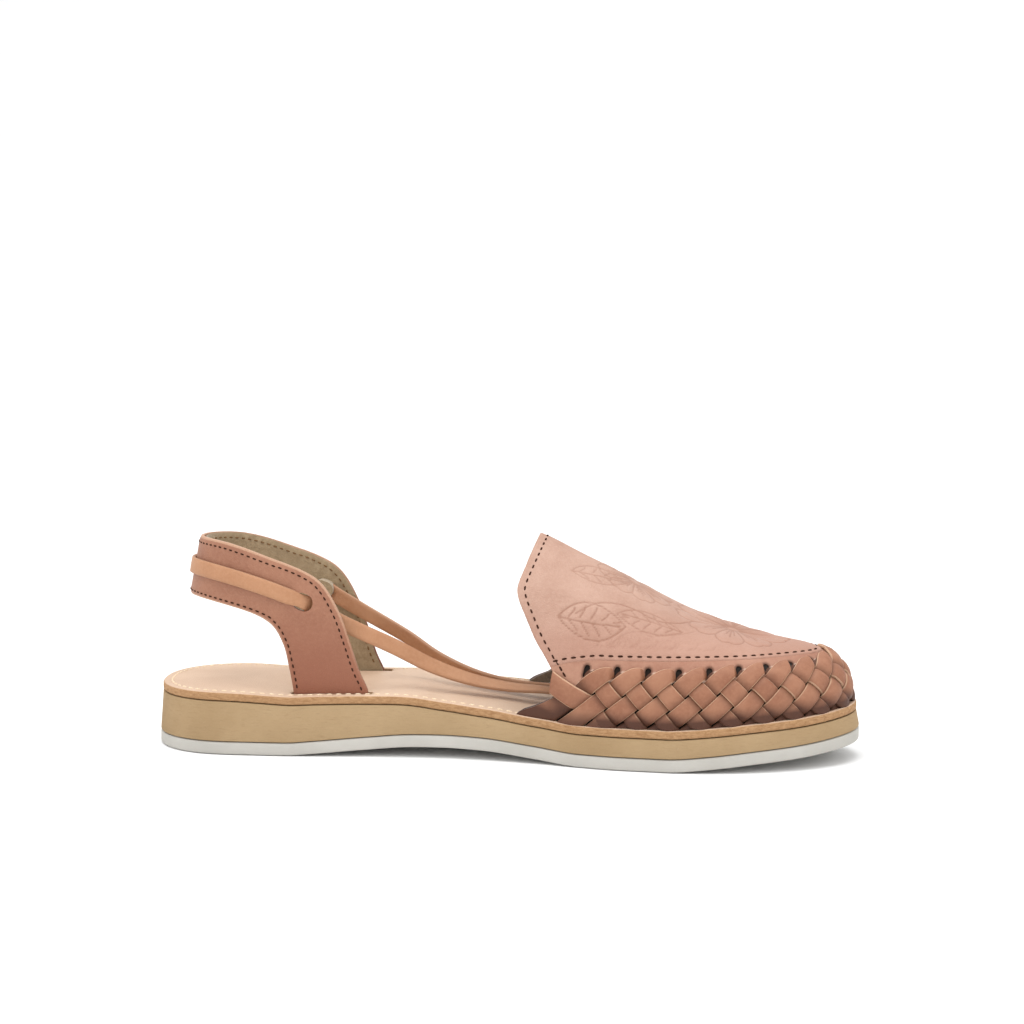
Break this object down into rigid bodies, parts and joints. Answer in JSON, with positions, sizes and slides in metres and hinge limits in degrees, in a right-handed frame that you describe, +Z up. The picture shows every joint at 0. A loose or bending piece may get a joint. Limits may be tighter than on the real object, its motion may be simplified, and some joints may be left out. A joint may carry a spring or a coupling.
{
  "type": "huarache sandal",
  "caption": "Left huarache sandal with a tooled vamp, braided sides, a heel strap with two legs and a thong on a low wedge sole.",
  "frame": {"origin": "on the floor under the middle of the heel, 30 mm ahead of the outsole's back end", "axes": "+X towards the toe, +Y to the outer side of the foot, +Z up"},
  "size_m": [0.25, 0.0874, 0.0767],
  "materials": {
    "white_rubber": "matte off-white rubber sheet",
    "tan_foam": "matte sanded foam",
    "insole_leather": "smooth undyed leather with a raw edge",
    "vamp_leather": "tooled and braided brown leather, satin",
    "strap_leather": "oiled brown leather, satin",
    "lace_leather": "natural tan leather thong"
  },
  "bodies": {
    "root": {"outsole": "white_rubber", "midsole": "tan_foam", "insole": "insole_leather", "vamp": "vamp_leather", "heel_strap": "strap_leather", "lace": "lace_leather"}
  },
  "joints": []
}
